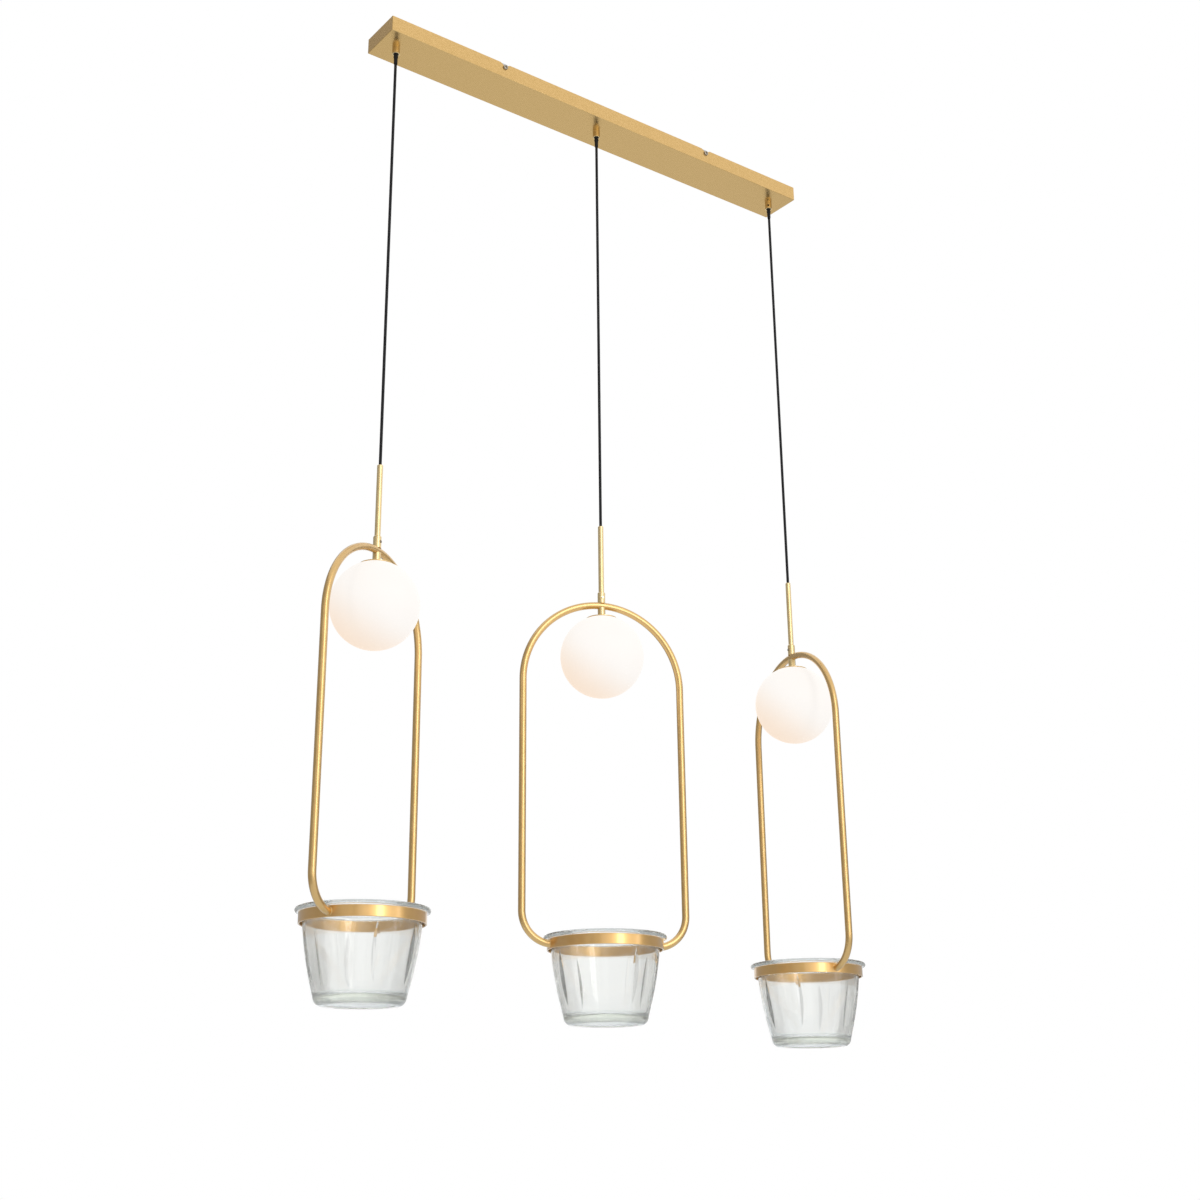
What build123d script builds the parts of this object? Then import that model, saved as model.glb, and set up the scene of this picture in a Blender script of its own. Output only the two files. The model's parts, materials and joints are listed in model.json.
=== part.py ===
"""Linear pendant light: a long canopy with three corded hangers.

Each hanger is a bent tube frame with an opal globe at its apex and a glass pot in a ring at its foot.
Millimetres, +Z up. The origin is the middle of the canopy's top, on the ceiling. X runs along the canopy.
A hanger is drawn about its own axis, with Z = 0 at the top of its stem and its frame in the XZ plane.
"""
import os
from math import acos, atan, cos, degrees, sin, sqrt

from build123d import *

# Reach of a cutter past the face it cuts, and slack of a hole round what sits in it
OVERRUN = 1.0
FIT = 0.1

# Canopy: a shallow sheet-metal box, open to the ceiling
CANOPY_L = 950.0
CANOPY_W = 85.0
CANOPY_H = 29.0
CANOPY_T = 1.2
CANOPY_EDGE_R = 1.0
FLOOR_TOP = CANOPY_T - CANOPY_H

# Ceiling bracket and the side screws that hold the canopy to it
BRACKET_L = 520.0
BRACKET_W = 40.0
BRACKET_T = 1.5
BRACKET_CORNER_R = 5.0
SLOT_X = 180.0
SLOT_L = 20.0
SLOT_W = 5.2
CABLE_HOLE_X = 70.0
CABLE_HOLE_D = 22.0
TAB_X = 238.5
TAB_W = 12.0
TAB_DROP = 14.0
TAB_WALL_GAP = 0.2
SCREW_Z = -8.0
SCREW_D = 5.0
SCREW_HEAD_D = 9.5
SCREW_HEAD_H = 3.0
SCREW_HEAD_R = 1.6
SCREW_L = 9.0
SCREW_CROSS = 5.0
SCREW_CROSS_W = 1.1
SLOT_IN_WALL_W = 5.6
SLOT_MOUTH_W = 20.0
SLOT_MOUTH_H = 4.5

# Wiring inside the canopy
BLOCK_X = -150.0
BLOCK_L = 18.0
BLOCK_H = 14.0
BLOCK_CORNER_R = 1.5
POLE_PITCH = 9.0
POLES = 3
POLE_HOLE_D = 3.6
POLE_HOLE_L = 7.2
POLE_SCREW_D = 4.2
POLE_WELL_H = 4.7
EARTH_X = -70.0
EARTH_STUD_D = 4.0
EARTH_STUD_L = 11.0
EARTH_WASHER_D = 8.8
EARTH_WASHER_T = 1.0
EARTH_NUT_AF = 7.0
EARTH_NUT_H = 3.2
LEAD_D = 3.0
LEAD_Z = -9.0
LEAD_BEND_R = 9.0
LEAD_EASE_R = 47.0
LEAD_STRAIGHT = 25.0
LEAD_RUN = 40.0
LEAD_IN_STUD = 4.0
LEAD_IN_BLOCK = 5.0

# Cord grips: turned bodies under the canopy, with a threaded stud and a nut inside it
GRIP_D = 13.5
GRIP_H = 13.0
GRIP_CHAMFER = 0.5
STUD_D = 9.8
STUD_TOP = -19.8
STUD_HOLE_D = 10.2
STUD_BORE_D = 6.4
NUT_AF = 14.0
NUT_H = 4.0
PIVOT_RISE = 3.2
PIVOT_Z = -CANOPY_H - GRIP_H + PIVOT_RISE
POCKET_R = 4.9
POCKET_RISE = 6.0
LIP_RISE = 1.0
LIP_R = 4.35
MOUTH_R = 5.2
GRUB_D = 4.0
GRUB_L = 1.5
GRUB_Z = -CANOPY_H - 6.5
GRUB_SOCKET = 2.0

# Cord bush: a ball that tilts in the grip's pocket, with a short tail round the cord
BALL_R = 4.6
BALL_TOP = 3.4
TAIL_TOP_R = 3.5
TAIL_END_R = 3.3
TAIL_L = 6.5
BUSH_HOLE_R = 3.0

# Cord, the rubber sleeve on its upper end, and the stem
CORD_D = 5.0
CORD_IN_STEM = 25.0
SLEEVE_GAP = 0.5
SLEEVE_COLLAR_D = 8.2
SLEEVE_COLLAR_H = 3.5
SLEEVE_EASE_R = 0.8
SLEEVE_D = 7.0
SLEEVE_END_D = 6.4
SLEEVE_L = 13.0
STEM_D = 9.6
STEM_BORE_D = 5.8
STEM_EDGE_R = 1.2
STEM_SEAT = 14.0
STEM_SEAT_GAP = 0.2

# Coupler, collar and hollow nipple at the frame's apex
COUPLER_D = 13.2
COUPLER_TOP = -121.0
COUPLER_CHAMFER = 1.5
SADDLE_DEPTH = 2.0
SADDLE_GAP = 0.1
NIPPLE_D = 8.0
NIPPLE_BORE_D = 4.6
NIPPLE_TOP = -135.6
NIPPLE_END = -177.0
NIPPLE_HOLE_D = 8.2
SET_SCREW_D = 4.0
SET_SCREW_PROUD = 0.8
SET_SCREW_Z = -131.0
SET_SCREW_WELL_D = 5.4
SET_SCREW_WELL = 0.8
SET_SCREW_SLOT_W = 0.8

# Frame: one bent round tube
TUBE_D = 12.0
TUBE_WALL = 1.0
ARCH_R = 138.5
APEX_Z = -145.0
FOOT_BEND_R = 51.0
FOOT_Z = -713.6
FOOT_RUN_IN = 6.0

# Ring that carries the pot
RING_R = 93.3
RING_T = 2.3
RING_H = 16.2
RING_EDGE_R = 0.6
RING_TOP = FOOT_Z + RING_H / 2

# Globe, its cap, and the lamp inside
GLOBE_Z = -235.5
GLOBE_R = 70.5
GLOBE_T = 2.5
GLOBE_MOUTH_R = 25.0
CAP_R = 26.5
CAP_T = 1.0
CAP_EDGE_R = 0.4
CAP_LIFT = 0.3
CAP_COLLAR_R = 24.0
CAP_COLLAR_T = 1.2
CAP_COLLAR_H = 9.0
HOLDER_D = 24.0
HOLDER_END_D = 20.0
HOLDER_H = 22.0
HOLDER_BAND_H = 7.5
PIN_GAP = 9.0
PIN_D = 1.6
PIN_L = 8.0
PIN_ROOT = 1.0
PIN_HOLE_D = 2.6
BULB_BASE_D = 15.0
BULB_BASE_H = 11.0
BULB_D = 17.0
BULB_L = 47.0
BULB_END_R = 8.0
BULB_GAP = 0.3
LAMP_LEAD_D = 1.2
LAMP_LEAD_OFFSET = 1.1
LAMP_LEAD_GAP = 1.0
LAMP_LEAD_OUT = 0.5

# Pot: pressed glass, hung by its flange, heights taken from the flange's underside
POT_DEPTH = 130.0
POT_NECK_R = 88.2
POT_FOOT_R = 67.3
POT_FOOT_RISE = 12.0
POT_BASE_R = 59.3
POT_FOOT_BOW = 2.0
POT_BULGE = 3.2
POT_WALL = 4.3
POT_HEEL_W = 8.0
POT_HEEL_H = 5.5
POT_HEEL_BOW = 1.9
POT_FLOOR_T = 12.5
POT_PUNT_R = 50.0
POT_PUNT_H = 1.0
FLANGE_R = 98.8
FLANGE_H = 6.8
FLANGE_FLAT_R = FLANGE_R - FLANGE_H / 2
FLANGE_LIP_R = 89.0
FLANGE_LIP_BOW = 1.6
MOULD_HALVES = 2
NOTCHES_PER_HALF = 3
NOTCH_STEP_DEG = 45.0
NOTCH_TOP = -20.0
NOTCH_END = -104.0
NOTCH_DEPTH = 2.8
NOTCH_HALF_W = 7.0
NOTCH_CUT_W = 8.4
NOTCH_OUT = 14.0

# Where the three hangers hang: place along the canopy, stem-top height and turn about the cord,
# the way the grip's grub screw faces, and the pot's turn in its ring
HANGERS = {
    "left": {"x": -442.0, "stem_top": -826.0, "turn": 29.0, "grub": 46.0, "pot": 91.0},
    "middle": {"x": 0.0, "stem_top": -834.0, "turn": -19.0, "grub": 46.0, "pot": 151.0},
    "right": {"x": 442.0, "stem_top": -851.0, "turn": -103.0, "grub": -134.0, "pot": 92.0},
}


def rod(diameter, bottom, top):
    """Upright round bar on the Z axis between two heights."""
    return Pos(0, 0, (bottom + top) / 2) * Cylinder(diameter / 2, top - bottom)


def tube(outer, inner, bottom, top):
    """Upright round tube on the Z axis between two heights."""
    return rod(outer, bottom, top) - rod(inner, bottom - OVERRUN, top + OVERRUN)


def radial(diameter, start, length, height, angle):
    """Round bar that points outward from the Z axis, from one radius over a length."""
    bar = Cylinder(diameter / 2, length, align=(Align.CENTER, Align.CENTER, Align.MIN))
    return Pos(0, 0, height) * Rot(0, 0, angle) * Pos(start, 0, 0) * Rot(0, 90, 0) * bar


def wall_slot():
    """Cutter across the canopy for one pair of screw slots, with flared mouths at the top edges."""
    half, mouth = SLOT_IN_WALL_W / 2, SLOT_MOUTH_W / 2
    points = [
        (-half, SCREW_Z),
        (half, SCREW_Z),
        (half, -SLOT_MOUTH_H),
        (mouth, 0),
        (mouth, OVERRUN),
        (-mouth, OVERRUN),
        (-mouth, 0),
        (-half, -SLOT_MOUTH_H),
    ]
    width = CANOPY_W + 2 * OVERRUN
    outline = Plane.XZ * make_face(Polyline(*points, close=True))
    slot = extrude(outline, width / 2, both=True)
    return slot + Pos(0, 0, SCREW_Z) * Rot(90, 0, 0) * Cylinder(half, width)


def canopy_shell():
    """Folded box with three grip holes in its floor and screw slots in its long top edges."""
    box = Pos(0, 0, -CANOPY_H / 2) * Box(CANOPY_L, CANOPY_W, CANOPY_H)
    box = fillet(box.edges().filter_by(Axis.Z), CANOPY_EDGE_R)
    box = fillet(box.faces().sort_by(Axis.Z)[0].edges(), CANOPY_EDGE_R)
    depth = -FLOOR_TOP + OVERRUN
    hollow = Box(CANOPY_L - 2 * CANOPY_T, CANOPY_W - 2 * CANOPY_T, depth)
    shell = box - Pos(0, 0, FLOOR_TOP + depth / 2) * hollow
    for hanger in HANGERS.values():
        shell -= Pos(hanger["x"], 0, 0) * rod(STUD_HOLE_D, -CANOPY_H - OVERRUN, FLOOR_TOP + OVERRUN)
    for x in (-TAB_X, TAB_X):
        shell -= Pos(x, 0, 0) * wall_slot()
    return shell


def bracket_tab(x, y):
    """Turned-down tab of the bracket, with a hole for a side screw."""
    tab = Pos(x, y, -TAB_DROP / 2) * Box(TAB_W, BRACKET_T, TAB_DROP)
    hole = Rot(90, 0, 0) * Cylinder(SCREW_D / 2 + FIT, 2 * BRACKET_T)
    return tab - Pos(x, y, SCREW_Z) * hole


def ceiling_bracket():
    """Strip against the ceiling, with slots, a cable entry and four turned-down tabs."""
    plate = Pos(0, 0, -BRACKET_T / 2) * Box(BRACKET_L, BRACKET_W, BRACKET_T)
    plate = fillet(plate.edges().filter_by(Axis.Z), BRACKET_CORNER_R)
    reach = CANOPY_W / 2 - CANOPY_T - TAB_WALL_GAP
    for x in (-TAB_X, TAB_X):
        plate += Pos(x, 0, -BRACKET_T / 2) * Box(TAB_W, 2 * reach, BRACKET_T)
        for side in (-1, 1):
            plate += bracket_tab(x, side * (reach - BRACKET_T / 2))
    bottom, top = -BRACKET_T - OVERRUN, OVERRUN
    for x in (-SLOT_X, SLOT_X):
        plate -= Pos(x, 0, bottom) * extrude(SlotOverall(SLOT_L, SLOT_W), top - bottom)
    plate -= Pos(CABLE_HOLE_X, 0, 0) * rod(CABLE_HOLE_D, bottom, top)
    return plate - Pos(EARTH_X, 0, 0) * rod(EARTH_STUD_D, bottom, top)


def canopy_side_screw():
    """Pan-head screw with a cross recess, its head's seat at Z = 0 and its shank below."""
    head = rod(SCREW_HEAD_D, 0, SCREW_HEAD_H)
    head = fillet(head.faces().sort_by(Axis.Z)[-1].edges(), SCREW_HEAD_R)
    cross = Box(SCREW_CROSS, SCREW_CROSS_W, SCREW_HEAD_H) + Box(SCREW_CROSS_W, SCREW_CROSS, SCREW_HEAD_H)
    return head + rod(SCREW_D, -SCREW_L, 0) - Pos(0, 0, SCREW_HEAD_H) * cross


def canopy_side_screws():
    """Four screws that hang the canopy's notches on the bracket's tabs."""
    screw = canopy_side_screw()
    seat = CANOPY_W / 2
    near = [Pos(x, -seat, SCREW_Z) * Rot(90, 0, 0) * screw for x in (-TAB_X, TAB_X)]
    far = [Pos(x, seat, SCREW_Z) * Rot(-90, 0, 0) * screw for x in (-TAB_X, TAB_X)]
    return near + far


def terminal_block():
    """Moulded block with one barrel per pole, each with two wire mouths and two screw wells."""
    width = POLES * POLE_PITCH
    block = Pos(BLOCK_X, 0, FLOOR_TOP + BLOCK_H / 2) * Box(BLOCK_L, width, BLOCK_H)
    block = fillet(block.edges().filter_by(Axis.Z), BLOCK_CORNER_R)
    mouth_z = FLOOR_TOP + BLOCK_H / 2
    block_top = FLOOR_TOP + BLOCK_H
    for pole in range(POLES):
        y = (pole - (POLES - 1) / 2) * POLE_PITCH
        for side in (-1, 1):
            mouth = Rot(0, 90, 0) * Cylinder(POLE_HOLE_D / 2, 2 * POLE_HOLE_L)
            block -= Pos(BLOCK_X + side * BLOCK_L / 2, y, mouth_z) * mouth
            well = rod(POLE_SCREW_D, block_top - POLE_WELL_H, block_top + OVERRUN)
            block -= Pos(BLOCK_X + side * BLOCK_L / 4, y, 0) * well
    return block


def earth_terminal():
    """Stud through the bracket with a washer and a hexagon nut under it."""
    washer_end = -BRACKET_T - EARTH_WASHER_T
    stud = rod(EARTH_STUD_D, -EARTH_STUD_L, 0)
    washer = rod(EARTH_WASHER_D, washer_end, -BRACKET_T)
    nut = extrude(RegularPolygon(EARTH_NUT_AF / 2, 6, major_radius=False), EARTH_NUT_H)
    return Pos(EARTH_X, 0, 0) * (stud + washer + Pos(0, 0, washer_end - EARTH_NUT_H) * nut)


def canopy_lead(start_x, y, grip_x):
    """Insulated lead from a pole of the terminal block, along the canopy and down into a grip."""
    mouth_z = FLOOR_TOP + BLOCK_H / 2
    toward = 1 if grip_x > start_x else -1
    first = start_x + toward * LEAD_STRAIGHT
    points = [
        (start_x, y, mouth_z),
        (first, y, mouth_z),
        (first + toward * LEAD_RUN, y, LEAD_Z),
        (grip_x - toward * LEAD_RUN, 0, LEAD_Z),
        (grip_x, 0, LEAD_Z),
        (grip_x, 0, STUD_TOP - LEAD_IN_STUD),
    ]
    radii = [LEAD_EASE_R, LEAD_EASE_R, LEAD_EASE_R, LEAD_BEND_R]
    path = FilletPolyline(*points, radius=radii)
    section = Plane(origin=points[0], z_dir=(toward, 0, 0)) * Circle(LEAD_D / 2)
    return sweep(section, path=path)


def canopy_leads():
    """One lead for each hanger."""
    reach = BLOCK_L / 2 - LEAD_IN_BLOCK
    return [
        canopy_lead(BLOCK_X - reach, -POLE_PITCH, HANGERS["left"]["x"]),
        canopy_lead(BLOCK_X + reach, -POLE_PITCH, HANGERS["middle"]["x"]),
        canopy_lead(BLOCK_X + reach, POLE_PITCH, HANGERS["right"]["x"]),
    ]


def cord_grip(grub_angle):
    """Turned grip with a threaded stud, a ball pocket and a lip that keeps the bush in."""
    bottom = -CANOPY_H - GRIP_H
    body = rod(GRIP_D, bottom, -CANOPY_H)
    body = chamfer(body.faces().sort_by(Axis.Z)[0].edges(), GRIP_CHAMFER)
    body += rod(STUD_D, -CANOPY_H, STUD_TOP)
    body -= rod(STUD_BORE_D, bottom, STUD_TOP + OVERRUN)
    body -= rod(2 * POCKET_R, bottom + LIP_RISE, PIVOT_Z + POCKET_RISE)
    flare = Cone(MOUTH_R, LIP_R, LIP_RISE, align=(Align.CENTER, Align.CENTER, Align.MIN))
    body -= Pos(0, 0, bottom) * flare
    return body - radial(GRUB_D + FIT, POCKET_R - OVERRUN, GRIP_D, GRUB_Z, grub_angle)


def cord_grip_nut():
    """Hexagon nut that clamps a grip to the canopy's floor."""
    nut = extrude(RegularPolygon(NUT_AF / 2, 6, major_radius=False), NUT_H)
    return Pos(0, 0, FLOOR_TOP) * nut - rod(STUD_D + FIT, FLOOR_TOP - OVERRUN, FLOOR_TOP + NUT_H + OVERRUN)


def grip_grub_screw(angle):
    """Headless screw in a grip's side, with a hexagon socket."""
    start = GRIP_D / 2 - GRUB_L - FIT
    socket = Rot(0, 90, 0) * extrude(RegularPolygon(GRUB_SOCKET / 2, 6), GRUB_L)
    place = Pos(0, 0, GRUB_Z) * Rot(0, 0, angle) * Pos(start + GRUB_L / 2, 0, 0)
    return radial(GRUB_D, start, GRUB_L, GRUB_Z, angle) - place * socket


def cord_bush():
    """Ball with a short tapered tail, bored for the cord, about the pivot at Z = 0."""
    ball = Sphere(BALL_R) & rod(4 * BALL_R, -2 * BALL_R, BALL_TOP)
    tail = Cone(TAIL_END_R, TAIL_TOP_R, TAIL_L, align=(Align.CENTER, Align.CENTER, Align.MIN))
    bush = ball + Pos(0, 0, -TAIL_L) * tail
    return bush - rod(2 * BUSH_HOLE_R, -2 * TAIL_L, 2 * BALL_R)


def cord(stem_top):
    """Taut round cord from the bush's pivot down into the stem."""
    return rod(CORD_D, stem_top - CORD_IN_STEM, PIVOT_Z)


def cord_sleeve():
    """Rubber sleeve on the cord below the bush, with a collar at its top, about the pivot at Z = 0."""
    top = -TAIL_L - SLEEVE_GAP
    waist = top - SLEEVE_COLLAR_H
    head = rod(SLEEVE_COLLAR_D, waist, top)
    head = fillet(head.edges(), SLEEVE_EASE_R)
    taper = Cone(SLEEVE_END_D / 2, SLEEVE_D / 2, SLEEVE_L, align=(Align.CENTER, Align.CENTER, Align.MIN))
    sleeve = head + Pos(0, 0, waist - SLEEVE_L) * taper
    return sleeve - rod(CORD_D + FIT, waist - SLEEVE_L - OVERRUN, top + OVERRUN)


def stem():
    """Tube with a rounded top edge, seated in the coupler."""
    end = COUPLER_TOP - STEM_SEAT
    bar = rod(STEM_D, end, 0)
    bar = fillet(bar.faces().sort_by(Axis.Z)[-1].edges(), STEM_EDGE_R)
    return bar - rod(STEM_BORE_D, end - OVERRUN, OVERRUN)


def arch_tube(diameter):
    """Full ring on the frame's arch, used to cut saddles that sit on the apex."""
    return Pos(0, 0, APEX_Z - ARCH_R) * Rot(90, 0, 0) * Torus(ARCH_R, diameter / 2)


def coupler():
    """Sleeve that takes the stem from above and sits astride the apex."""
    bottom = APEX_Z + TUBE_D / 2 - SADDLE_DEPTH
    body = rod(COUPLER_D, bottom, COUPLER_TOP)
    body = chamfer(body.faces().sort_by(Axis.Z)[-1].edges(), COUPLER_CHAMFER)
    body -= rod(STEM_D + FIT, COUPLER_TOP - STEM_SEAT - STEM_SEAT_GAP, COUPLER_TOP + OVERRUN)
    body -= rod(NIPPLE_HOLE_D, bottom - OVERRUN, COUPLER_TOP)
    body -= arch_tube(TUBE_D + 2 * SADDLE_GAP)
    body -= radial(SET_SCREW_WELL_D, COUPLER_D / 2 - SET_SCREW_WELL, COUPLER_D, SET_SCREW_Z, -90)
    return body - radial(SET_SCREW_D + FIT, STEM_D / 2 - OVERRUN, COUPLER_D, SET_SCREW_Z, -90)


def coupler_screw():
    """Slotted set screw that locks the stem in the coupler."""
    start = STEM_D / 2 + FIT
    length = COUPLER_D / 2 + SET_SCREW_PROUD - start
    slot = Box(SET_SCREW_PROUD, SET_SCREW_SLOT_W, SET_SCREW_D + OVERRUN)
    place = Pos(0, 0, SET_SCREW_Z) * Rot(0, 0, -90) * Pos(start + length, 0, 0)
    return radial(SET_SCREW_D, start, length, SET_SCREW_Z, -90) - place * slot


def nipple():
    """Hollow threaded tube through the apex, from the coupler to the lamp holder."""
    return tube(NIPPLE_D, NIPPLE_BORE_D, NIPPLE_END, NIPPLE_TOP)


def cap_top():
    """Height of the globe cap's upper face."""
    mouth_rise = sqrt(GLOBE_R ** 2 - GLOBE_MOUTH_R ** 2)
    return GLOBE_Z + mouth_rise + CAP_LIFT + CAP_T


def collar():
    """Spacer between the apex and the globe cap."""
    top = APEX_Z - TUBE_D / 2 + SADDLE_DEPTH
    body = rod(COUPLER_D, cap_top(), top)
    body -= rod(NIPPLE_HOLE_D, cap_top() - OVERRUN, top + OVERRUN)
    return body - arch_tube(TUBE_D + 2 * SADDLE_GAP)


def frame_path():
    """Centre line of the frame: foot bend, side, half-circle arch, side, foot bend."""
    turn = acos(1 - (ARCH_R - RING_R) / FOOT_BEND_R)
    bend_x = ARCH_R - FOOT_BEND_R
    bend_z = FOOT_Z + FOOT_BEND_R * sin(turn)
    arch_z = APEX_Z - ARCH_R
    end = (bend_x + FOOT_BEND_R * cos(turn), 0, FOOT_Z)
    mid = (bend_x + FOOT_BEND_R * cos(turn / 2), 0, bend_z - FOOT_BEND_R * sin(turn / 2))
    inside = (end[0] - FOOT_RUN_IN * sin(turn), 0, end[2] - FOOT_RUN_IN * cos(turn))
    mirrored = [(-x, y, z) for x, y, z in (inside, end, mid)]
    edges = [
        Line(mirrored[0], mirrored[1]),
        ThreePointArc(mirrored[1], mirrored[2], (-ARCH_R, 0, bend_z)),
        Line((-ARCH_R, 0, bend_z), (-ARCH_R, 0, arch_z)),
        ThreePointArc((-ARCH_R, 0, arch_z), (0, 0, APEX_Z), (ARCH_R, 0, arch_z)),
        Line((ARCH_R, 0, arch_z), (ARCH_R, 0, bend_z)),
        ThreePointArc((ARCH_R, 0, bend_z), mid, end),
        Line(end, inside),
    ]
    return Wire(edges)


def frame():
    """Bent tube, drilled at the apex for the nipple and coped at both ends to the ring."""
    path = frame_path()
    section = Plane(origin=path @ 0, z_dir=path % 0)
    wall = Circle(TUBE_D / 2) - Circle(TUBE_D / 2 - TUBE_WALL)
    bent = sweep(section * wall, path=path)
    bent -= rod(NIPPLE_HOLE_D, APEX_Z - TUBE_D, APEX_Z + TUBE_D)
    return bent - rod(2 * RING_R, FOOT_Z - 2 * RING_H, FOOT_Z + 2 * RING_H)


def ring():
    """Flat band with eased edges."""
    band = tube(2 * RING_R, 2 * (RING_R - RING_T), RING_TOP - RING_H, RING_TOP)
    ends = band.faces().filter_by(Plane.XY)
    return fillet(ends.edges(), RING_EDGE_R)


def globe_cap():
    """Thin disc with an eased edge, and a collar that goes into the globe's mouth."""
    top = cap_top()
    under = top - CAP_T
    cap = rod(2 * CAP_R, under, top)
    cap = fillet(cap.faces().sort_by(Axis.Z)[-1].edges(), CAP_EDGE_R)
    cap += tube(2 * CAP_COLLAR_R, 2 * (CAP_COLLAR_R - CAP_COLLAR_T), under - CAP_COLLAR_H, under)
    return cap - rod(NIPPLE_HOLE_D, under - OVERRUN, top + OVERRUN)


def lamp_holder():
    """Ceramic lamp holder, drawn in towards its end, with two pin holes."""
    top = cap_top() - CAP_T
    end = top - HOLDER_H
    waist = top - HOLDER_BAND_H
    body = rod(HOLDER_D, waist, top)
    taper = Cone(HOLDER_END_D / 2, HOLDER_D / 2, waist - end, align=(Align.CENTER, Align.CENTER, Align.MIN))
    body += Pos(0, 0, end) * taper
    body -= rod(NIPPLE_HOLE_D, NIPPLE_END - OVERRUN, top + OVERRUN)
    for side in (-1, 1):
        body -= Pos(side * PIN_GAP / 2, 0, 0) * rod(PIN_HOLE_D, end - OVERRUN, end + PIN_L + OVERRUN)
    return body


def lamp_leads():
    """Two leads from the cord's end to the lamp holder, inside the stem and the nipple."""
    bottom = NIPPLE_END - LAMP_LEAD_OUT
    top = -CORD_IN_STEM - LAMP_LEAD_GAP
    return [Pos(0, side * LAMP_LEAD_OFFSET, 0) * rod(LAMP_LEAD_D, bottom, top) for side in (-1, 1)]


def bulb():
    """Two-pin capsule lamp with a rounded end."""
    seat = cap_top() - CAP_T - HOLDER_H - BULB_GAP
    base = rod(BULB_BASE_D, seat - BULB_BASE_H, seat)
    capsule = rod(BULB_D, seat - BULB_L, seat - BULB_BASE_H)
    capsule = fillet(capsule.faces().sort_by(Axis.Z)[0].edges(), BULB_END_R)
    lamp = base + capsule
    for side in (-1, 1):
        lamp += Pos(side * PIN_GAP / 2, 0, 0) * rod(PIN_D, seat - PIN_ROOT, seat + PIN_L)
    return lamp


def globe():
    """Blown globe with a round mouth at its top."""
    shell = Sphere(GLOBE_R) - Sphere(GLOBE_R - GLOBE_T)
    shell -= rod(2 * GLOBE_MOUTH_R, 0, 2 * GLOBE_R)
    return Pos(0, 0, GLOBE_Z) * shell


def bowed(start, end, bow):
    """Arc between two points of a profile, bowed to the right of its run by a height."""
    dx, dz = end[0] - start[0], end[1] - start[1]
    chord = sqrt(dx ** 2 + dz ** 2)
    middle = ((start[0] + end[0]) / 2 + bow * dz / chord, (start[1] + end[1]) / 2 - bow * dx / chord)
    return ThreePointArc(start, middle, end)


def pot_side(z):
    """Outer radius of the pot's bulged side at a height."""
    foot_z = POT_FOOT_RISE - POT_DEPTH
    run = POT_NECK_R - POT_FOOT_R
    chord = sqrt(run ** 2 + foot_z ** 2)
    radius = (chord ** 2 / 4 + POT_BULGE ** 2) / (2 * POT_BULGE)
    back = radius - POT_BULGE
    centre_r = (POT_NECK_R + POT_FOOT_R) / 2 + back * foot_z / chord
    centre_z = foot_z / 2 + back * run / chord
    return centre_r + sqrt(radius ** 2 - (z - centre_z) ** 2)


def pot_blank():
    """Turned form of the pot: flange, gently bulged side, rounded foot, thick base."""
    foot = (POT_FOOT_R, POT_FOOT_RISE - POT_DEPTH)
    floor_z = POT_FLOOR_T - POT_DEPTH
    punt_z = POT_PUNT_H - POT_DEPTH
    base = (POT_BASE_R, -POT_DEPTH)
    neck = (POT_NECK_R, 0)
    inner_neck = (POT_NECK_R - POT_WALL, 0)
    heel_high = (POT_FOOT_R - POT_WALL, floor_z + POT_HEEL_H)
    heel_low = (heel_high[0] - POT_HEEL_W, floor_z)
    flange_low, flange_high = (FLANGE_FLAT_R, 0), (FLANGE_FLAT_R, FLANGE_H)
    lip = (FLANGE_LIP_R, FLANGE_H)
    rolled = FLANGE_H / 2
    outline = [
        Line((0, floor_z), (0, punt_z)),
        Line((0, punt_z), (POT_PUNT_R, punt_z)),
        Line((POT_PUNT_R, punt_z), (POT_PUNT_R + POT_PUNT_H, -POT_DEPTH)),
        Line((POT_PUNT_R + POT_PUNT_H, -POT_DEPTH), base),
        bowed(base, foot, POT_FOOT_BOW),
        bowed(foot, neck, POT_BULGE),
        Line(neck, flange_low),
        bowed(flange_low, flange_high, rolled),
        Line(flange_high, lip),
        bowed(lip, inner_neck, FLANGE_LIP_BOW),
        bowed(inner_neck, heel_high, -POT_BULGE),
        bowed(heel_high, heel_low, -POT_HEEL_BOW),
        Line(heel_low, (0, floor_z)),
    ]
    face = make_face(Plane.XZ * Wire(outline))
    return revolve(face, Axis.Z)


def pot_notch():
    """V-shaped cutter whose keel follows an arc, so that a notch runs out to a point at both ends."""
    mid_z = (NOTCH_TOP + NOTCH_END) / 2
    low = (pot_side(NOTCH_END), NOTCH_END)
    high = (pot_side(NOTCH_TOP), NOTCH_TOP)
    keel = ThreePointArc(low, (pot_side(mid_z) - NOTCH_DEPTH, mid_z), high)
    out_high = (high[0] + NOTCH_OUT, high[1] + NOTCH_OUT)
    out_low = (low[0] + NOTCH_OUT, low[1] - NOTCH_OUT)
    outline = [keel, Line(high, out_high), Line(out_high, out_low), Line(out_low, low)]
    face = make_face(Plane.XZ * Wire(outline))
    flank = degrees(atan(NOTCH_DEPTH / NOTCH_HALF_W))
    half = extrude(face, NOTCH_CUT_W, dir=(0, 1, 0), taper=flank)
    return half + mirror(half, Plane.XZ)


def pot():
    """Glass pot from a two-part mould, each half with three upright V notches about its middle."""
    cutter = pot_notch()
    glass = pot_blank()
    for half in range(MOULD_HALVES):
        for notch in range(NOTCHES_PER_HALF):
            step = notch - (NOTCHES_PER_HALF - 1) / 2
            glass -= Rot(0, 0, half * 360 / MOULD_HALVES + step * NOTCH_STEP_DEG) * cutter
    return Pos(0, 0, RING_TOP) * glass


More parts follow.
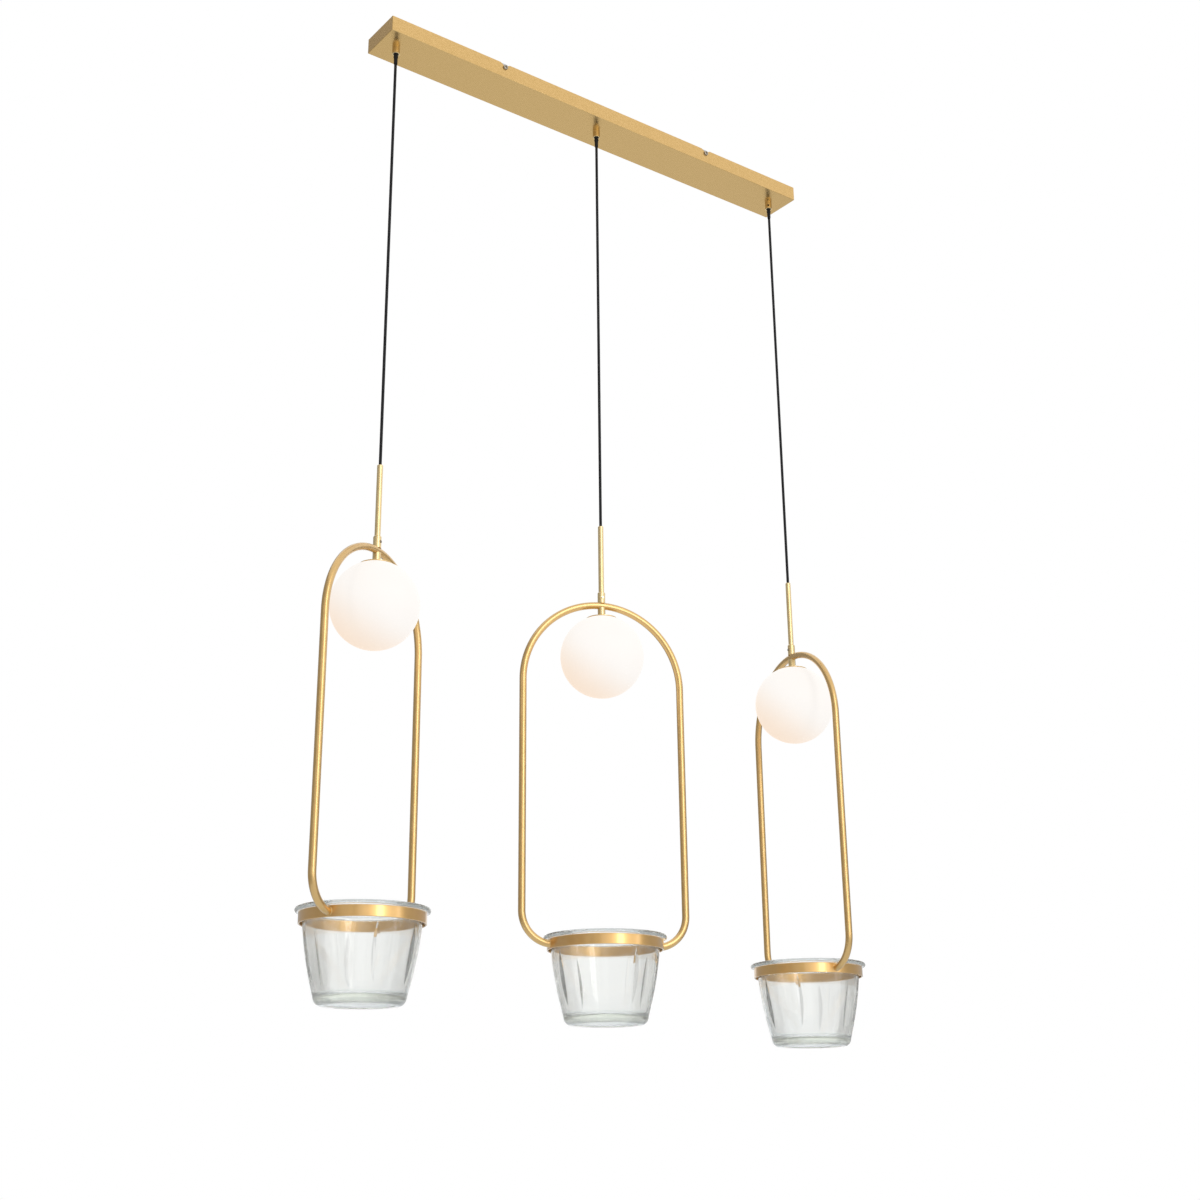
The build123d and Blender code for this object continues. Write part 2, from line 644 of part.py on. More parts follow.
def hanger_pieces():
    """Pieces of one hanger, about its own axis, by the ending of their names."""
    return {
        "stem": stem(),
        "coupler": coupler(),
        "coupler_screw": coupler_screw(),
        "nipple": nipple(),
        "collar": collar(),
        "frame": frame(),
        "ring": ring(),
        "globe_cap": globe_cap(),
        "lamp_holder": lamp_holder(),
        "lamp_leads": lamp_leads(),
        "bulb": bulb(),
        "globe": globe(),
    }


def placed(shape, location):
    """A piece, or each of a group of pieces, moved to its place."""
    if isinstance(shape, list):
        return [location * each for each in shape]
    return location * shape


def all_nodes():
    """Every piece in its place, by name."""
    nodes = {
        "canopy_shell": canopy_shell(),
        "ceiling_bracket": ceiling_bracket(),
        "canopy_side_screws": canopy_side_screws(),
        "terminal_block": terminal_block(),
        "earth_terminal": earth_terminal(),
        "canopy_leads": canopy_leads(),
        "cord_grip_nuts": [Pos(hanger["x"], 0, 0) * cord_grip_nut() for hanger in HANGERS.values()],
        "grip_grub_screws": [Pos(h["x"], 0, 0) * grip_grub_screw(h["grub"]) for h in HANGERS.values()],
    }
    pieces = hanger_pieces()
    glass = pot()
    for side, hanger in HANGERS.items():
        axis = Pos(hanger["x"], 0, 0)
        nodes[side + "_cord_grip"] = axis * cord_grip(hanger["grub"])
        nodes[side + "_cord_bush"] = axis * Pos(0, 0, PIVOT_Z) * cord_bush()
        nodes[side + "_cord"] = axis * cord(hanger["stem_top"])
        nodes[side + "_cord_sleeve"] = axis * Pos(0, 0, PIVOT_Z) * cord_sleeve()
        hang = Location((hanger["x"], 0, hanger["stem_top"]), (0, 0, hanger["turn"]))
        for name, shape in pieces.items():
            nodes[side + "_" + name] = placed(shape, hang)
        nodes[side + "_pot"] = hang * Rot(0, 0, hanger["pot"]) * glass
    return nodes


def main():
    os.makedirs("parts", exist_ok=True)
    for name, shape in all_nodes().items():
        solids = shape if isinstance(shape, list) else [shape]
        group = Compound(children=[solid for each in solids for solid in each.solids()])
        export_step(group, os.path.join("parts", name + ".step"))
    for side, hanger in HANGERS.items():
        print(side, "cord in view:", -CANOPY_H - GRIP_H - hanger["stem_top"], "mm, straight")


if __name__ == "__main__":
    main()
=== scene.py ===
"""Looks of the linear pendant light: camera, cords, glass, bent frames, finishes, floor and light.

Metres, +Z up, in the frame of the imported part: the origin is the middle of the canopy's top.
A hanger is drawn about its own axis, with Z = 0 at the top of its stem and its frame in the XZ plane.
"""
import json
from math import acos, atan, cos, pi, radians, sin, sqrt

import bmesh
import bpy
from mathutils import Matrix, Vector


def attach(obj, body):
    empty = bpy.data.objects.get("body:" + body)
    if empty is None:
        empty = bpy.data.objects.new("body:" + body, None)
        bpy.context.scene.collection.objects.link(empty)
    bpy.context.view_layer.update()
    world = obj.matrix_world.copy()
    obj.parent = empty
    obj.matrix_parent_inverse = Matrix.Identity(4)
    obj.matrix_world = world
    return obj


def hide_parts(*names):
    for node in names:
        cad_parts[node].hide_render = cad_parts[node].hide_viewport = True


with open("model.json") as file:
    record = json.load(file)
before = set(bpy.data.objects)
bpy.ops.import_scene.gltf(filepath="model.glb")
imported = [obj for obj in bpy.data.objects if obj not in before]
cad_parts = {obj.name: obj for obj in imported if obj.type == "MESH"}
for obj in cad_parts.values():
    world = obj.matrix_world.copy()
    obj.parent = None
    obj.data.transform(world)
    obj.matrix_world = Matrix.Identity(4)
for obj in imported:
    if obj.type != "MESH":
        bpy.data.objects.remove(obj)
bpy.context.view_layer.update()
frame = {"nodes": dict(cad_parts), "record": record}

# Camera, as fitted to the photograph: pixels of a square image, metres and radians
IMAGE_PX = 1200.0
FOCAL_PX = 1702.528
CENTRE_X_PX = 575.646
CENTRE_Y_PX = 527.297
CAMERA_AT = Vector((-1.68369, -2.20628, -1.88031))
CAMERA_YAW = 0.63618
CAMERA_PITCH = 0.3603
CAMERA_ROLL = -0.00546
SENSOR_MM = 36.0

# Where the three hangers hang, and in degrees the turn of each about its cord and of its pot in the ring
HANGERS = {
    "left": {"x": -0.442, "stem_top": -0.826, "turn": 29.0, "pot": 91.0},
    "middle": {"x": 0.0, "stem_top": -0.834, "turn": -19.0, "pot": 151.0},
    "right": {"x": 0.442, "stem_top": -0.851, "turn": -103.0, "pot": 92.0},
}

# Cord and stem
CORD_D = 0.005
CORD_TOP = -0.0388
CORD_IN_STEM = 0.025
CORD_LEAD = 6 * CORD_D
CORD_ROUND_STEPS = 6
CORD_ORDER = 3
STEM_R = 0.0048
STEM_BORE_R = 0.0029
STEM_EDGE_R = 0.0012
STEM_END = -0.135

# Frame: one bent round tube
TUBE_R = 0.006
ARCH_R = 0.1385
APEX_Z = -0.145
FOOT_BEND_R = 0.051
FOOT_Z = -0.7136
WELD_R = 0.0009
WELD_BITE = 0.0003

# Ring that carries the pot
RING_R = 0.0933
RING_T = 0.0023
RING_H = 0.0162
RING_EDGE_R = 0.0006
RING_TOP = FOOT_Z + RING_H / 2

# Globe
GLOBE_Z = -0.2355
GLOBE_R = 0.0705
GLOBE_T = 0.0025
GLOBE_MOUTH_R = 0.025

# Pot, heights taken from its flange's underside, which sits a hair above the ring
POT_SEAT = 0.00005
POT_DEPTH = 0.130
POT_NECK_R = 0.0882
POT_FOOT_R = 0.0673
POT_FOOT_H = 0.012
POT_FOOT_Z = POT_FOOT_H - POT_DEPTH
POT_BASE_R = 0.0593
POT_FOOT_BOW = 0.0020
POT_BULGE = 0.0032
POT_WALL = 0.0043
POT_FLOOR_T = 0.0125
POT_FLOOR_Z = POT_FLOOR_T - POT_DEPTH
POT_HEEL_W = 0.008
POT_HEEL_H = 0.0055
POT_HEEL_BOW = 0.0019
POT_PUNT_R = 0.050
POT_PUNT_H = 0.001
POT_PUNT_Z = POT_PUNT_H - POT_DEPTH
FLANGE_R = 0.0988
FLANGE_H = 0.0068
FLANGE_FLAT_R = FLANGE_R - FLANGE_H / 2
FLANGE_LIP_R = 0.089
FLANGE_LIP_BOW = 0.0016
NOTCH_ANGLES = (-45.0, 0.0, 45.0, 135.0, 180.0, 225.0)
NOTCH_TOP = -0.020
NOTCH_END = -0.104
NOTCH_DEPTH = 0.0028
NOTCH_HALF_W = 0.007
NOTCH_FADE = 0.018
NOTCH_TIP_DEG = 0.35
NOTCH_PLAIN_DEG = 4.0

# Metals: the two colours and roughnesses of the grain, grains to the metre, bump, and share of clear lacquer
METALS = {
    "canopy_paint": {"dark": (0.62, 0.40, 0.145), "light": (0.80, 0.53, 0.225), "rough": (0.20, 0.30),
                     "grain": 650.0, "bump": 0.06, "lacquer": 0.0},
    "frame_gold": {"dark": (0.68, 0.435, 0.155), "light": (0.73, 0.475, 0.18), "rough": (0.31, 0.35),
                   "grain": 60.0, "bump": 0.02, "lacquer": 1.0},
    "ring_gold": {"dark": (0.76, 0.465, 0.165), "light": (0.81, 0.50, 0.185), "rough": (0.31, 0.35),
                  "grain": 60.0, "bump": 0.02, "lacquer": 1.0},
    "brass": {"dark": (0.80, 0.60, 0.28), "light": (0.86, 0.66, 0.33), "rough": (0.31, 0.35),
              "grain": 60.0, "bump": 0.02, "lacquer": 1.0},
    "chrome": {"dark": (0.36, 0.31, 0.25), "light": (0.44, 0.39, 0.32), "rough": (0.03, 0.07),
               "grain": 500.0, "bump": 0.02, "lacquer": 0.0},
    "screw_steel": {"dark": (0.012, 0.012, 0.013), "light": (0.035, 0.035, 0.037), "rough": (0.30, 0.45),
                    "grain": 600.0, "bump": 0.1, "lacquer": 0.0},
    "bracket_steel": {"dark": (0.45, 0.46, 0.47), "light": (0.62, 0.63, 0.65), "rough": (0.25, 0.45),
                      "grain": 120.0, "bump": 0.1, "lacquer": 0.0},
}
LACQUER_ROUGH = 0.12

# Plastic, rubber and ceramic, in the same terms
SOLIDS = {
    "terminal_plastic": {"dark": (0.70, 0.68, 0.60), "light": (0.76, 0.74, 0.66), "rough": (0.30, 0.42),
                         "grain": 300.0, "bump": 0.1},
    "lead_sheath": {"dark": (0.52, 0.52, 0.50), "light": (0.60, 0.60, 0.58), "rough": (0.40, 0.55),
                    "grain": 400.0, "bump": 0.1},
    "bush_rubber": {"dark": (0.006, 0.006, 0.006), "light": (0.014, 0.014, 0.014), "rough": (0.45, 0.6),
                    "grain": 900.0, "bump": 0.1},
    "cord_sheath": {"dark": (0.005, 0.005, 0.006), "light": (0.011, 0.011, 0.012), "rough": (0.42, 0.52),
                    "grain": 700.0, "bump": 0.02},
    "ceramic": {"dark": (0.74, 0.71, 0.64), "light": (0.80, 0.78, 0.71), "rough": (0.35, 0.5),
                "grain": 350.0, "bump": 0.1},
}
SOLID_GLOSS = 0.2

# Grain of all these finishes: its height in metres, and the detail and the middle range of its noise
GRAIN_H = 0.0001
GRAIN_DETAIL = 2.0
GRAIN_LOW = 0.3
GRAIN_HIGH = 0.7

# Lit opal glass: nearly white, with painted shade: a warmer glow towards the side away from the soft boxes
OPAL_DARK = (0.24, 0.235, 0.23)
OPAL_LIGHT = (0.26, 0.255, 0.25)
OPAL_CLOUD = 18.0
OPAL_ROUGH = 0.6
OPAL_GLOSS = 0.15
OPAL_GLOW = (1.0, 0.96, 0.92)
# Painted shade: the warm glow colour, and the direction and span over which it takes over
OPAL_PAINTED_SHADE_COLOUR = (1.0, 0.80, 0.63)
OPAL_GLOW_STRENGTH = 0.80
OPAL_PAINTED_SHADE_SIDE = (-0.31, 0.58, -0.75)
OPAL_PAINTED_SHADE_FROM = -GLOBE_R / 5
OPAL_PAINTED_SHADE_TO = GLOBE_R

# Clear pressed glass: the share of light that it bends, its colour in the depth, and its waves
GLASS_IOR = 1.5
GLASS_BENT = 0.85
GLASS_COLOUR = (0.955, 0.96, 0.95)
GLASS_DEPTH_COLOUR = (0.80, 0.84, 0.75)
GLASS_DEPTH_DENSITY = 10.0
GLASS_WAVE = 45.0
GLASS_WAVE_DETAIL = 1.0
GLASS_WAVE_BUMP = 0.12
GLASS_WAVE_H = 0.0006

# Frosted glass of the bulb inside a globe
BULB_DARK = (0.44, 0.42, 0.38)
BULB_LIGHT = (0.50, 0.48, 0.44)
BULB_GRAIN = 400.0
BULB_ROUGH = 0.4
BULB_GLOW = (1.0, 0.86, 0.66)
BULB_GLOW_STRENGTH = 0.4

# Floor, light and grey walls: angles in degrees are seen from above, with 0 along +X
WHITE = (1.0, 1.0, 1.0)
FLOOR_Z = -2.7
FLOOR_R = 40.0
FLOOR_COLOUR = (0.78, 0.79, 0.80)
FLOOR_GLOSS = (0.88, 0.93, 0.98)
FLOOR_SEEN = 0.7
FLOOR_FADE = (4.0, 14.0)
AIM = Vector((0, 0, -1.0))
DAYLIGHT = 0.6
SOFT_BOXES = {
    "key": {"angle": 263.0, "rise": 14.0, "far": 3.2, "wide": 0.75, "tall": 2.8, "power": 23.0},
    "right": {"angle": 299.0, "rise": 2.0, "far": 3.2, "wide": 0.35, "tall": 2.0, "power": 3.0},
    "left": {"angle": 207.0, "rise": 12.0, "far": 3.4, "wide": 0.5, "tall": 2.4, "power": 7.0},
}
WALL_FAR = 3.0
WALL_STEP_DEG = 5.0
WALL_PALE = 0.70
WALLS = {
    "left": {"from": 75.0, "to": 225.0, "top": 2.4, "grey": 0.40},
    "right": {"from": 305.0, "to": 395.0, "top": -0.2, "grey": 0.46},
}

# Fineness of the turned and swept meshes
TURN_STEPS = 128
TUBE_STEPS = 32
ARCH_STEPS = 96
BEND_STEPS = 24
EDGE_STEPS = 6
SHARP_DEG = 40.0
SIDE_STEPS = 48
NOTCH_FRACTIONS = (0.05, 0.14, 0.35, 0.65, 0.86, 0.95, 1.05, 1.14)
PLAIN_COLUMN_DEG = 5.0


def new_object(name, verts, faces, material):
    """Smooth mesh object with outward faces, at the origin."""
    mesh = bpy.data.meshes.new(name)
    mesh.from_pydata(verts, [], faces)
    work = bmesh.new()
    work.from_mesh(mesh)
    bmesh.ops.recalc_face_normals(work, faces=work.faces)
    work.to_mesh(mesh)
    work.free()
    mesh.polygons.foreach_set("use_smooth", [True] * len(mesh.polygons))
    mesh.set_sharp_from_angle(angle=radians(SHARP_DEG))
    mesh.materials.append(material)
    piece = bpy.data.objects.new(name, mesh)
    bpy.context.scene.collection.objects.link(piece)
    return piece


def hang(piece, side, extra_turn=0.0):
    """Turns a piece drawn about a hanger's axis and moves it to its place."""
    at = HANGERS[side]
    piece.data.transform(Matrix.Rotation(radians(at["turn"] + extra_turn), 4, "Z"))
    piece.location = (at["x"], 0, at["stem_top"])
    return piece


def arc(centre, radius, start_deg, end_deg, steps):
    """Points of a round stretch of a profile, from one angle to another."""
    angles = [radians(start_deg + (end_deg - start_deg) * i / steps) for i in range(steps + 1)]
    return [(centre[0] + radius * cos(a), centre[1] + radius * sin(a)) for a in angles]


def eased(centre, radius, start_deg):
    """Quarter round of a profile, with a point on the straight run at each end to hold the run flat."""
    points = arc(centre, radius, start_deg, start_deg + 90, EDGE_STEPS)
    first, last = radians(start_deg), radians(start_deg + 90)
    lead = radius / 2
    before = (points[0][0] + lead * sin(first), points[0][1] - lead * cos(first))
    after = (points[-1][0] - lead * sin(last), points[-1][1] + lead * cos(last))
    return [before] + points + [after]


def bowed(start, end, bow, steps):
    """Points of a shallow arc between two points, bowed to the right of its run."""
    dx, dz = end[0] - start[0], end[1] - start[1]
    chord = sqrt(dx ** 2 + dz ** 2)
    points = []
    for i in range(steps + 1):
        t = i / steps
        rise = 4 * bow * t * (1 - t)
        points.append((start[0] + t * dx + rise * dz / chord, start[1] + t * dz - rise * dx / chord))
    return points


def grid_faces(rows, closed):
    """Quads between neighbouring rows of vertex numbers, triangles where a row is one point."""
    pairs = list(zip(rows, rows[1:]))
    if closed:
        pairs.append((rows[-1], rows[0]))
    faces = []
    for low, high in pairs:
        for i in range(len(low)):
            j = (i + 1) % len(low)
            face = list(dict.fromkeys((low[i], low[j], high[j], high[i])))
            if len(face) > 2:
                faces.append(face)
    return faces


def lathe(profile, closed=False):
    """Vertices and faces of a profile of (radius, height) points turned about Z."""
    verts, rows = [], []
    for radius, height in profile:
        if radius == 0:
            rows.append([len(verts)] * TURN_STEPS)
            verts.append((0, 0, height))
            continue
        rows.append(list(range(len(verts), len(verts) + TURN_STEPS)))
        for i in range(TURN_STEPS):
            a = 2 * pi * i / TURN_STEPS
            verts.append((radius * cos(a), radius * sin(a), height))
    return verts, grid_faces(rows, closed)


def add_camera():
    """Camera at the photograph's viewing point."""
    ahead = Vector((sin(CAMERA_YAW), cos(CAMERA_YAW), 0))
    forward = cos(CAMERA_PITCH) * ahead + Vector((0, 0, sin(CAMERA_PITCH)))
    level = Vector((cos(CAMERA_YAW), -sin(CAMERA_YAW), 0))
    rise = level.cross(forward)
    right = cos(CAMERA_ROLL) * level + sin(CAMERA_ROLL) * rise
    up = cos(CAMERA_ROLL) * rise - sin(CAMERA_ROLL) * level
    data = bpy.data.cameras.new("camera")
    data.sensor_width = SENSOR_MM
    data.lens = FOCAL_PX / IMAGE_PX * SENSOR_MM
    data.shift_x = 0.5 - CENTRE_X_PX / IMAGE_PX
    data.shift_y = CENTRE_Y_PX / IMAGE_PX - 0.5
    camera = bpy.data.objects.new("camera", data)
    turn = Matrix((right, up, -forward)).transposed()
    camera.matrix_world = Matrix.Translation(CAMERA_AT) @ turn.to_4x4()
    bpy.context.scene.collection.objects.link(camera)
    bpy.context.scene.camera = camera


def new_material(name, **values):
    """Principled material with constant values on the shader's sockets."""
    material = bpy.data.materials.new(name)
    material.use_nodes = True
    shader = material.node_tree.nodes["Principled BSDF"]
    for socket, value in values.items():
        shader.inputs[socket.replace("_", " ")].default_value = value
    return material, material.node_tree, shader


def add_noise(tree, scale, detail=GRAIN_DETAIL):
    """Noise over the object's own space."""
    place = tree.nodes.new("ShaderNodeTexCoord")
    noise = tree.nodes.new("ShaderNodeTexNoise")
    noise.inputs["Scale"].default_value = scale
    noise.inputs["Detail"].default_value = detail
    tree.links.new(place.outputs["Object"], noise.inputs["Vector"])
    return noise.outputs["Fac"]


def spread(tree, value, low, high, start=GRAIN_LOW, end=GRAIN_HIGH, smooth=False):
    """Number that runs from low to high as a value, such as a noise, runs from start to end."""
    node = tree.nodes.new("ShaderNodeMapRange")
    node.interpolation_type = "SMOOTHSTEP" if smooth else "LINEAR"
    node.inputs["From Min"].default_value = start
    node.inputs["From Max"].default_value = end
    node.inputs["To Min"].default_value = low
    node.inputs["To Max"].default_value = high
    tree.links.new(value, node.inputs["Value"])
    return node.outputs["Result"]


def combine(tree, operation, first, second):
    """Number made of two numbers, such as the larger one or their product."""
    node = tree.nodes.new("ShaderNodeMath")
    node.operation = operation
    tree.links.new(first, node.inputs[0])
    tree.links.new(second, node.inputs[1])
    return node.outputs["Value"]


def blend(tree, share, first, second):
    """Colour between two colours, by a share from 0 to 1."""
    node = tree.nodes.new("ShaderNodeMix")
    node.data_type = "RGBA"
    node.inputs["A"].default_value = (*first, 1)
    node.inputs["B"].default_value = (*second, 1)
    tree.links.new(share, node.inputs["Factor"])
    return node.outputs["Result"]


def tint(tree, noise, dark, light):
    """Colour between two colours, by the middle range of a noise."""
    return blend(tree, spread(tree, noise, 0, 1), dark, light)


def roughen(tree, shader, noise, strength, distance):
    """Bump from a noise."""
    bump = tree.nodes.new("ShaderNodeBump")
    bump.inputs["Strength"].default_value = strength
    bump.inputs["Distance"].default_value = distance
    tree.links.new(noise, bump.inputs["Height"])
    tree.links.new(bump.outputs["Normal"], shader.inputs["Normal"])


def add_grain(tree, shader, finish):
    """Colour, roughness and bump of a finish, which all follow one grain."""
    noise = add_noise(tree, finish["grain"])
    tree.links.new(tint(tree, noise, finish["dark"], finish["light"]), shader.inputs["Base Color"])
    tree.links.new(spread(tree, noise, *finish["rough"]), shader.inputs["Roughness"])
    roughen(tree, shader, noise, finish["bump"], GRAIN_H)


def metal(name):
    """Metal finish, under its share of clear lacquer."""
    finish = METALS[name]
    material, tree, shader = new_material(name, Metallic=1.0, Coat_Weight=finish["lacquer"],
                                          Coat_Roughness=LACQUER_ROUGH)
    add_grain(tree, shader, finish)
    return material


def solid(name):
    """Plastic, rubber or ceramic finish."""
    material, tree, shader = new_material(name, Metallic=0.0, Specular_IOR_Level=SOLID_GLOSS)
    add_grain(tree, shader, SOLIDS[name])
    return material


def opal_glass():
    """Lit opal glass: white, with painted shade as a warmer glow low down on the side away from the soft
    boxes.
    """
    material, tree, shader = new_material("opal_glass", Roughness=OPAL_ROUGH, IOR=GLASS_IOR,
                                          Specular_IOR_Level=OPAL_GLOSS,
                                          Emission_Strength=OPAL_GLOW_STRENGTH)
    # Painted shade: the glow turns warmer along a fixed direction, low down on the side away from the soft
    # boxes
    place = tree.nodes.new("ShaderNodeTexCoord")
    along = tree.nodes.new("ShaderNodeVectorMath")
    along.operation = "DOT_PRODUCT"
    along.inputs[1].default_value = OPAL_PAINTED_SHADE_SIDE
    tree.links.new(place.outputs["Object"], along.inputs[0])
    middle = GLOBE_Z * OPAL_PAINTED_SHADE_SIDE[2]
    start, end = middle + OPAL_PAINTED_SHADE_FROM, middle + OPAL_PAINTED_SHADE_TO
    painted_shade = spread(tree, along.outputs["Value"], 0, 1, start, end, smooth=True)
    tree.links.new(blend(tree, painted_shade, OPAL_GLOW, OPAL_PAINTED_SHADE_COLOUR), shader.inputs["Emission Color"])
    cloud = add_noise(tree, OPAL_CLOUD)
    tree.links.new(tint(tree, cloud, OPAL_DARK, OPAL_LIGHT), shader.inputs["Base Color"])
    return material


def clear_glass():
    """Thick pressed glass, faintly green, with the slight waves of the mould."""
    material, tree, shader = new_material("clear_glass", Base_Color=(*GLASS_COLOUR, 1), Roughness=0.0,
                                          IOR=GLASS_IOR, Transmission_Weight=1.0, Alpha=GLASS_BENT)
    waves = add_noise(tree, GLASS_WAVE, GLASS_WAVE_DETAIL)
    roughen(tree, shader, waves, GLASS_WAVE_BUMP, GLASS_WAVE_H)
    absorb = tree.nodes.new("ShaderNodeVolumeAbsorption")
    absorb.inputs["Color"].default_value = (*GLASS_DEPTH_COLOUR, 1)
    absorb.inputs["Density"].default_value = GLASS_DEPTH_DENSITY
    tree.links.new(absorb.outputs["Volume"], tree.nodes["Material Output"].inputs["Volume"])
    return material


def lamp_glass():
    """Frosted, lit glass of a bulb."""
    material, tree, shader = new_material("lamp_glass", Roughness=BULB_ROUGH, Emission_Color=(*BULB_GLOW, 1),
                                          Emission_Strength=BULB_GLOW_STRENGTH)
    noise = add_noise(tree, BULB_GRAIN)
    tree.links.new(tint(tree, noise, BULB_DARK, BULB_LIGHT), shader.inputs["Base Color"])
    return material


def make_materials():
    """Finish of every material slot, by the slot's name."""
    materials = {name: metal(name) for name in METALS}
    materials.update({name: solid(name) for name in SOLIDS})
    materials["lamp_glass"] = lamp_glass()
    materials["opal_glass"] = opal_glass()
    materials["clear_glass"] = clear_glass()
    return materials


def dress_nodes(materials):
    """Gives every carried-over node the finish of its slot in the record."""
    for subpart in frame["record"]["subparts"]:
        mesh = frame["nodes"][subpart["node"]].data
        mesh.materials.clear()
        mesh.materials.append(materials[subpart["material_slot"]])


def stand_for(piece, side, ending, body):
    """Hides the node that a new piece stands for, and attaches the piece to the body it moves with."""
    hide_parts(side + "_" + ending)
    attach(piece, side + "_" + body)


def add_cord(side, materials):
    """Taut cord from its bush down into the stem."""
    at = HANGERS[side]
    end = at["stem_top"] - CORD_IN_STEM
    heights = [CORD_TOP, CORD_TOP - CORD_LEAD, at["stem_top"] + CORD_LEAD, end]
    curve = bpy.data.curves.new(side + "_cord_line", "CURVE")
    curve.dimensions = "3D"
    curve.bevel_depth = CORD_D / 2
    curve.bevel_resolution = CORD_ROUND_STEPS
    curve.use_fill_caps = True
    curve.materials.append(materials["cord_sheath"])
    spline = curve.splines.new("NURBS")
    spline.points.add(len(heights) - 1)
    for point, height in zip(spline.points, heights):
        point.co = (at["x"], 0, height, 1)
    spline.order_u = CORD_ORDER
    spline.use_endpoint_u = True
    piece = bpy.data.objects.new(side + "_cord_line", curve)
    bpy.context.scene.collection.objects.link(piece)
    stand_for(piece, side, "cord", "cord")


def stem_profile():
    """Tube with a rounded top edge, as a closed outline."""
    crown = eased((STEM_R - STEM_EDGE_R, -STEM_EDGE_R), STEM_EDGE_R, 0)
    return [(STEM_BORE_R, STEM_END), (STEM_R, STEM_END)] + crown + [(STEM_BORE_R, 0)]


def ring_profile():
    """Flat band with eased edges, as a closed outline."""
    outer, inner = RING_R - RING_EDGE_R, RING_R - RING_T + RING_EDGE_R
    top, bottom = RING_TOP - RING_EDGE_R, RING_TOP - RING_H + RING_EDGE_R
    points = eased((outer, bottom), RING_EDGE_R, -90)
    points += eased((outer, top), RING_EDGE_R, 0)
    points += eased((inner, top), RING_EDGE_R, 90)
    return points + eased((inner, bottom), RING_EDGE_R, 180)


def globe_profile():
    """Blown shell with a rounded rim round its mouth, from the outer foot to the inner one."""
    lip_r = GLOBE_T / 2
    middle = GLOBE_R - lip_r
    lip_deg = 90 - (GLOBE_MOUTH_R + lip_r) / middle * 180 / pi
    lip_at = arc((0, GLOBE_Z), middle, lip_deg, lip_deg, 1)[0]
    steps = TURN_STEPS // 2
    outer = arc((0, GLOBE_Z), GLOBE_R, -90, lip_deg, steps)
    rim = arc(lip_at, lip_r, lip_deg, lip_deg + 180, 2 * EDGE_STEPS)
    inner = arc((0, GLOBE_Z), GLOBE_R - GLOBE_T, lip_deg, -90, steps)
    return [(0, GLOBE_Z - GLOBE_R)] + outer[1:-1] + rim + inner[1:-1] + [(0, GLOBE_Z - GLOBE_R + GLOBE_T)]


def tube_path():
    """Places (x, z) along the frame with the outward direction at each, from foot to foot."""
    turn = acos(1 - (ARCH_R - RING_R) / FOOT_BEND_R) * 180 / pi
    bend_at = (ARCH_R - FOOT_BEND_R, FOOT_Z + FOOT_BEND_R * sin(radians(turn)))
    arch_at = (0, APEX_Z - ARCH_R)
    half = [(arch_at, ARCH_R, 90 - 180 * i / ARCH_STEPS) for i in range(ARCH_STEPS // 2 + 1)]
    half += [(bend_at, FOOT_BEND_R, -turn * i / BEND_STEPS) for i in range(BEND_STEPS + 1)]
    right = []
    for centre, radius, degrees in half:
        out = (cos(radians(degrees)), sin(radians(degrees)))
        right.append((centre[0] + radius * out[0], centre[1] + radius * out[1], out))
    left = [(-x, z, (-out[0], out[1])) for x, z, out in right[:0:-1]]
    return left + right


def cope(point, out):
    """Slides a point of the tube's end along the tube until it meets the ring."""
    x, y, z = point
    side = 1 if x > 0 else -1
    reach = side * sqrt((RING_R - WELD_BITE) ** 2 - y ** 2)
    return (reach, y, z + (x - reach) * out[0] / out[1])


def tube_rows():
    """Rows of points round the frame's tube, the two end rows fitted to the ring."""
    path = tube_path()
    rows = []
    for x, z, out in path:
        row = []
        for i in range(TUBE_STEPS):
            a = 2 * pi * i / TUBE_STEPS
            along = TUBE_R * cos(a)
            row.append((x + along * out[0], TUBE_R * sin(a), z + along * out[1]))
        rows.append(row)
    for end in (0, -1):
        rows[end] = [cope(point, path[end][2]) for point in rows[end]]
    return rows


def tube_mesh(rows, closed=False):
    """Vertices and faces of a tube through rows of points, with end caps unless it closes on itself."""
    verts = [point for row in rows for point in row]
    count = len(rows[0])
    numbers = [list(range(i * count, (i + 1) * count)) for i in range(len(rows))]
    faces = grid_faces(numbers, closed)
    if not closed:
        for end in (0, -1):
            middle = sum((Vector(point) for point in rows[end]), Vector()) / count
            faces += [(numbers[end][i], numbers[end][(i + 1) % count], len(verts)) for i in range(count)]
            verts.append(tuple(middle))
    return verts, faces


def weld_mesh(rows):
    """Thin bead round each coped end of the frame."""
    verts, faces = [], []
    for end in (0, -1):
        loop = [Vector(point) for point in rows[end]]
        middle = sum(loop, Vector()) / len(loop)
        beads = []
        for i, point in enumerate(loop):
            run = (loop[(i + 1) % len(loop)] - loop[i - 1]).normalized()
            out = (point - middle).normalized()
            lift = run.cross(out).normalized()
            beads.append([point + WELD_R * (cos(a) * out + sin(a) * lift)
                          for a in (2 * pi * k / EDGE_STEPS for k in range(EDGE_STEPS))])
        bead_verts, bead_faces = tube_mesh(beads, closed=True)
        faces += [[number + len(verts) for number in face] for face in bead_faces]
        verts += bead_verts
    return verts, faces


def side_radius(z):
    """Outer radius of the pot's bulged side at a height."""
    t = z / POT_FOOT_Z
    return POT_NECK_R + t * (POT_FOOT_R - POT_NECK_R) + 4 * POT_BULGE * t * (1 - t)


def keel_radius(z):
    """Radius of a notch's bottom line at a height between its two ends."""
    low, high = side_radius(NOTCH_END), side_radius(NOTCH_TOP)
    middle = side_radius((NOTCH_TOP + NOTCH_END) / 2) - NOTCH_DEPTH
    t = (z - NOTCH_END) / (NOTCH_TOP - NOTCH_END)
    return low + t * (high - low) + 4 * (middle - (low + high) / 2) * t * (1 - t)


